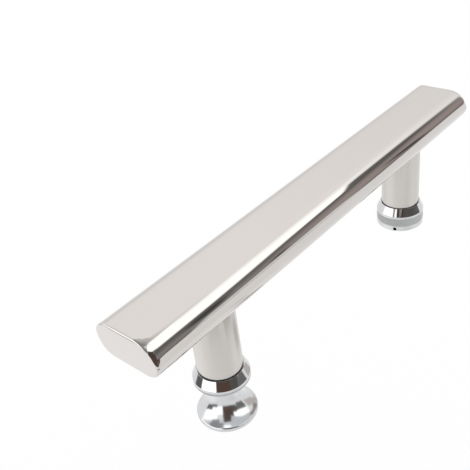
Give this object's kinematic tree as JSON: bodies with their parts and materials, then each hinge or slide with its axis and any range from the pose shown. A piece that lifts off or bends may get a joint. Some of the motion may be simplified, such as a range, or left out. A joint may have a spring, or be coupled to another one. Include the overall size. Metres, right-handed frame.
{
  "type": "shower door handle",
  "caption": "Flat-oval bar handle on round posts with bright chamfered collars, clamped through a glass shower door by a waisted knob and a flat cap.",
  "frame": {"origin": "midway between the two fixing holes, on the outer face of the door glass", "axes": "+X along the bar from the knob to the cap, +Y across the bar, +Z out of the glass towards the bar"},
  "size_m": [0.226, 0.031, 0.0741],
  "materials": {
    "polished_steel": "bright polished stainless steel",
    "satin_steel": "satin turned stainless steel",
    "bright_chrome": "bright chrome plate on brass",
    "clear_vinyl": "clear soft vinyl",
    "stud_steel": "plain threaded steel"
  },
  "bodies": {
    "root": {"bar_tube": "polished_steel", "knob_end_plate": "polished_steel", "cap_end_plate": "polished_steel", "knob_side_post": "satin_steel", "cap_side_post": "satin_steel", "knob_side_collar": "bright_chrome", "cap_side_collar": "bright_chrome", "knob_side_outer_gasket": "clear_vinyl", "cap_side_outer_gasket": "clear_vinyl", "knob_side_inner_gasket": "clear_vinyl", "cap_side_inner_gasket": "clear_vinyl", "knob_side_sleeve": "clear_vinyl", "cap_side_sleeve": "clear_vinyl", "knob_stud": "stud_steel", "knob": "bright_chrome", "cap_screw": "bright_chrome"}
  },
  "joints": []
}
